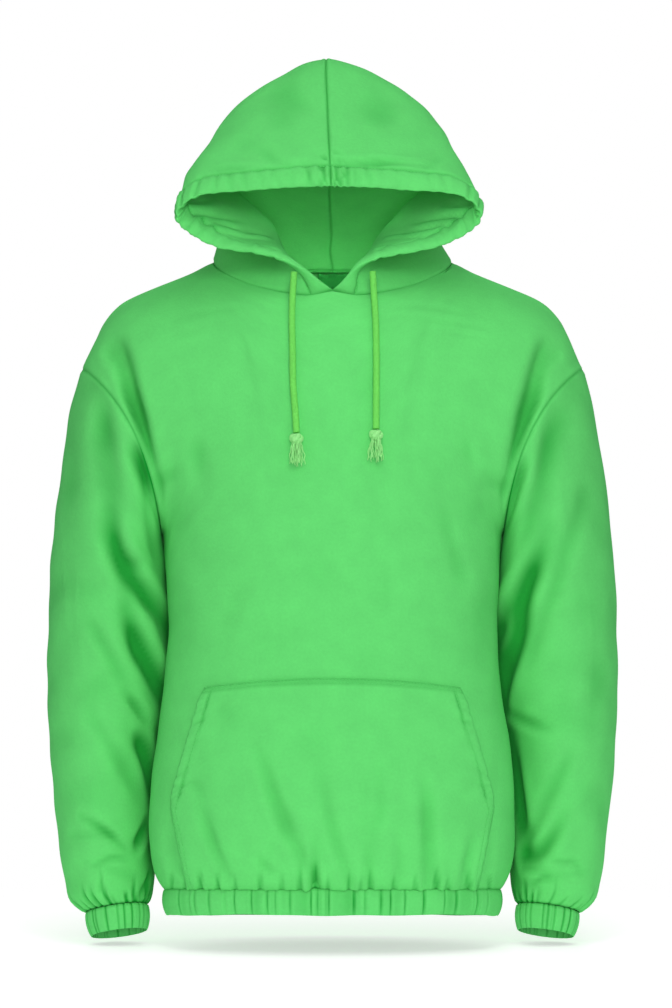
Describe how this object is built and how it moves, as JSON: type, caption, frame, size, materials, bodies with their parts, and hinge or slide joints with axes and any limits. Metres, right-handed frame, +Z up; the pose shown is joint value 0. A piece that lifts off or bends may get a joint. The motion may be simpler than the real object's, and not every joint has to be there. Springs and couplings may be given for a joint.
{
  "type": "pullover hoodie",
  "caption": "Loose pullover hoodie with drop shoulders, a raised drawcord hood, kangaroo pocket, ruched elastic cuffs and hem, in its worn hollow form with no wearer.",
  "frame": {"origin": "centre of the neck opening, level with the side neck points, where the wearer holds the hoodie up", "axes": "+Z up along the body, the front faces -Y, the wearer's left is +X"},
  "size_m": [0.5988, 0.2704, 0.9349],
  "materials": {
    "fleece": "brushed cotton fleece, bright green, matte",
    "elastic_fleece": "the same fleece ruched over elastic, matte",
    "cord": "round knitted cotton cord, yellowish green, matte",
    "frayed_cord": "knotted and frayed cord ends, light green, matte",
    "label": "plain woven label, dark green, left blank"
  },
  "bodies": {
    "root": {"front": "fleece", "back": "fleece", "sleeve_left": "fleece", "sleeve_right": "fleece", "cuff_left": "elastic_fleece", "cuff_right": "elastic_fleece", "hem_band": "elastic_fleece", "hood_left": "fleece", "hood_right": "fleece", "pocket": "fleece", "neck_label": "label", "drawcord_left": "cord", "drawcord_right": "cord", "tassel_left": "frayed_cord", "tassel_right": "frayed_cord"}
  },
  "joints": []
}
